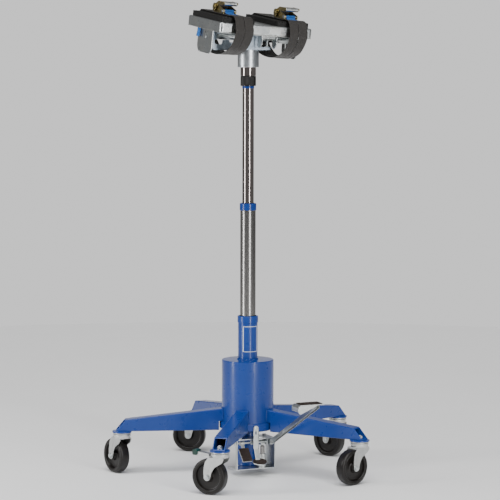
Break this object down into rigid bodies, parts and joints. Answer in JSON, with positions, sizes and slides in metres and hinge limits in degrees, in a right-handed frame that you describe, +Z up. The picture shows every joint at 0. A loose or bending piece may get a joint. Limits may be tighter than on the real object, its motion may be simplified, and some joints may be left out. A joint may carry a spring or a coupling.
{
  "type": "transmission jack",
  "caption": "Tall telescopic transmission jack on a five-legged caster base with foot pump, release pedals and a tilting saddle with ratchet straps.",
  "frame": {"origin": "on the floor, on the lifting column's axis", "axes": "+Z up along the column, -Y towards the operator's side with the pump and release pedals, +X to the operator's right as seen from -Y"},
  "size_m": [1.0127, 1.1147, 1.8313],
  "materials": {
    "blue_enamel": "gloss enamel",
    "zinc_plate": "bright zinc plating on sheet steel",
    "ground_steel": "ground steel",
    "hard_chrome": "polished hard chrome",
    "cast_silver": "silver paint on a casting",
    "black_steel": "blackened knurled steel",
    "black_polyamide": "moulded black polyamide",
    "black_rubber": "matt moulded rubber",
    "dark_webbing": "woven polyester webbing",
    "yellow_zinc": "yellow chromated zinc"
  },
  "bodies": {
    "base": {"reservoir_drum": "blue_enamel", "hub_band": "blue_enamel", "cylinder_barrel": "blue_enamel", "barrel_collar": "blue_enamel", "pump_bracket": "zinc_plate", "pump_body": "zinc_plate", "pedal_pivot_pin": "zinc_plate", "leg_1": "blue_enamel", "caster_stem_1": "zinc_plate", "leg_2": "blue_enamel", "caster_stem_2": "zinc_plate", "leg_3": "blue_enamel", "caster_stem_3": "zinc_plate", "leg_4": "blue_enamel", "caster_stem_4": "zinc_plate", "leg_5": "blue_enamel", "caster_stem_5": "zinc_plate"},
    "fork_1": {"caster_fork_1": "zinc_plate", "caster_axle_1": "zinc_plate"},
    "wheel_1": {"caster_wheel_1": "black_polyamide"},
    "fork_2": {"caster_fork_2": "zinc_plate", "caster_axle_2": "zinc_plate"},
    "wheel_2": {"caster_wheel_2": "black_polyamide"},
    "fork_3": {"caster_fork_3": "zinc_plate", "caster_axle_3": "zinc_plate"},
    "wheel_3": {"caster_wheel_3": "black_polyamide"},
    "fork_4": {"caster_fork_4": "zinc_plate", "caster_axle_4": "zinc_plate"},
    "wheel_4": {"caster_wheel_4": "black_polyamide"},
    "fork_5": {"caster_fork_5": "zinc_plate", "caster_axle_5": "zinc_plate"},
    "wheel_5": {"caster_wheel_5": "black_polyamide"},
    "brake": {"caster_brake_pedal": "zinc_plate"},
    "stage2": {"stage2_tube": "ground_steel", "stage2_collar": "blue_enamel"},
    "stage3": {"stage3_rod": "hard_chrome", "rod_stop_ring": "blue_enamel", "head_sleeve": "hard_chrome"},
    "nut": {"lock_nut": "black_steel"},
    "head": {"head_casting": "cast_silver"},
    "cradle": {"tilt_cradle": "cast_silver"},
    "side_screw": {"tilt_screw_side": "zinc_plate"},
    "platform": {"platform_tray": "zinc_plate", "pad_left": "black_rubber", "pad_right": "black_rubber", "strap_left": "dark_webbing", "strap_right": "dark_webbing", "ratchet_frame_left": "yellow_zinc", "ratchet_frame_right": "yellow_zinc"},
    "fore_screw": {"tilt_screw_fore": "zinc_plate"},
    "spool_left": {"ratchet_spool_left": "yellow_zinc"},
    "handle_left": {"ratchet_handle_left": "yellow_zinc"},
    "spool_right": {"ratchet_spool_right": "yellow_zinc"},
    "handle_right": {"ratchet_handle_right": "yellow_zinc"},
    "lever": {"pump_lever": "zinc_plate", "pump_pedal": "zinc_plate"},
    "plunger": {"pump_plunger": "ground_steel"},
    "approach": {"approach_pedal": "zinc_plate"},
    "release": {"release_pedal": "zinc_plate"}
  },
  "joints": [
    {"name": "caster_swivel_1", "type": "hinge", "parent": "base", "child": "fork_1", "pos_m": [-0.46697, 0.15173, 0.156], "axis": [0, 0, 1], "continuous": true},
    {"name": "wheel_spin_1", "type": "hinge", "parent": "fork_1", "child": "wheel_1", "pos_m": [-0.47479, 0.19197, 0.0675], "axis": [-0.9816, -0.1908, 0], "continuous": true},
    {"name": "caster_swivel_2", "type": "hinge", "parent": "base", "child": "fork_2", "pos_m": [-0.2886, -0.39723, 0.156], "axis": [0, 0, 1], "continuous": true},
    {"name": "wheel_spin_2", "type": "hinge", "parent": "fork_2", "child": "wheel_2", "pos_m": [-0.3144, -0.36536, 0.0675], "axis": [-0.7771, -0.6293, 0], "continuous": true},
    {"name": "caster_swivel_3", "type": "hinge", "parent": "base", "child": "fork_3", "pos_m": [0.2886, -0.39723, 0.156], "axis": [0, 0, 1], "continuous": true},
    {"name": "wheel_spin_3", "type": "hinge", "parent": "fork_3", "child": "wheel_3", "pos_m": [0.24961, -0.4099, 0.0675], "axis": [0.309, -0.9511, 0], "continuous": true},
    {"name": "caster_swivel_4", "type": "hinge", "parent": "base", "child": "fork_4", "pos_m": [0.46697, 0.15173, 0.156], "axis": [0, 0, 1], "continuous": true},
    {"name": "wheel_spin_4", "type": "hinge", "parent": "fork_4", "child": "wheel_4", "pos_m": [0.44772, 0.18793, 0.0675], "axis": [-0.8829, -0.4695, 0], "continuous": true},
    {"name": "caster_swivel_5", "type": "hinge", "parent": "base", "child": "fork_5", "pos_m": [0, 0.491, 0.156], "axis": [0, 0, 1], "continuous": true},
    {"name": "wheel_spin_5", "type": "hinge", "parent": "fork_5", "child": "wheel_5", "pos_m": [-0.03358, 0.51452, 0.0675], "axis": [-0.5736, -0.8192, 0], "continuous": true},
    {"name": "caster_brake", "type": "hinge", "parent": "fork_2", "child": "brake", "pos_m": [-0.3144, -0.36536, 0.1485], "axis": [-0.7771, -0.6293, 0], "range_deg": [0, 8]},
    {"name": "stage2_lift", "type": "slide", "parent": "base", "child": "stage2", "axis": [0, 0, 1], "range_m": [-0.4, 0]},
    {"name": "stage3_lift", "type": "slide", "parent": "stage2", "child": "stage3", "axis": [0, 0, 1], "range_m": [-0.43, 0]},
    {"name": "lock_nut_turn", "type": "hinge", "parent": "stage3", "child": "nut", "pos_m": [0, 0, 1.524], "axis": [0, 0, 1], "continuous": true},
    {"name": "head_swivel", "type": "hinge", "parent": "stage3", "child": "head", "pos_m": [0, 0, 1.614], "axis": [0, 0, 1], "continuous": true},
    {"name": "tilt_side", "type": "hinge", "parent": "head", "child": "cradle", "pos_m": [0, 0, 1.6895], "axis": [0, 1, 0], "range_deg": [-4, 3.5]},
    {"name": "tilt_fore", "type": "hinge", "parent": "cradle", "child": "platform", "pos_m": [0, 0, 1.6895], "axis": [0.9983, 0, -0.0576], "range_deg": [-16, 14]},
    {"name": "side_screw_turn", "type": "hinge", "parent": "cradle", "child": "side_screw", "pos_m": [-0.14276, -0.036, 1.69773], "axis": [0.0576, 0, 0.9983], "continuous": true},
    {"name": "fore_screw_turn", "type": "hinge", "parent": "platform", "child": "fore_screw", "pos_m": [0.04441, -0.0795, 1.67801], "axis": [0.0572, -0.1115, 0.9921], "continuous": true},
    {"name": "ratchet_spool_turn_left", "type": "hinge", "parent": "platform", "child": "spool_left", "pos_m": [-0.09642, 0.03279, 1.80659], "axis": [0.9983, 0, -0.0576], "continuous": true},
    {"name": "ratchet_handle_swing_left", "type": "hinge", "parent": "platform", "child": "handle_left", "pos_m": [-0.09642, 0.03279, 1.80659], "axis": [0.9983, 0, -0.0576], "range_deg": [-110, 0]},
    {"name": "ratchet_spool_turn_right", "type": "hinge", "parent": "platform", "child": "spool_right", "pos_m": [0.12673, -0.04174, 1.78535], "axis": [0.9983, 0, -0.0576], "continuous": true},
    {"name": "ratchet_handle_swing_right", "type": "hinge", "parent": "platform", "child": "handle_right", "pos_m": [0.12673, -0.04174, 1.78535], "axis": [0.9983, 0, -0.0576], "range_deg": [-110, 0]},
    {"name": "pump_stroke", "type": "hinge", "parent": "base", "child": "lever", "pos_m": [0.053, -0.05, 0.124], "axis": [1, 0, 0], "range_deg": [0, 28], "stiffness_Nm_per_rad": 20, "springref_deg": -28.65},
    {"name": "plunger_stroke", "type": "slide", "parent": "base", "child": "plunger", "axis": [0, 0, 1], "range_m": [-0.0187, 0]},
    {"name": "approach_press", "type": "hinge", "parent": "base", "child": "approach", "pos_m": [-0.016, -0.09, 0.1295], "axis": [1, 0, 0], "range_deg": [0, 10], "stiffness_Nm_per_rad": 4, "springref_deg": -17.19},
    {"name": "release_press", "type": "hinge", "parent": "base", "child": "release", "pos_m": [-0.064, -0.09, 0.1295], "axis": [1, 0, 0], "range_deg": [0, 10], "stiffness_Nm_per_rad": 4, "springref_deg": -17.19}
  ],
  "couplings": [
    {"joint": "plunger_stroke", "follows": "pump_stroke", "m_per_rad": -0.038}
  ]
}
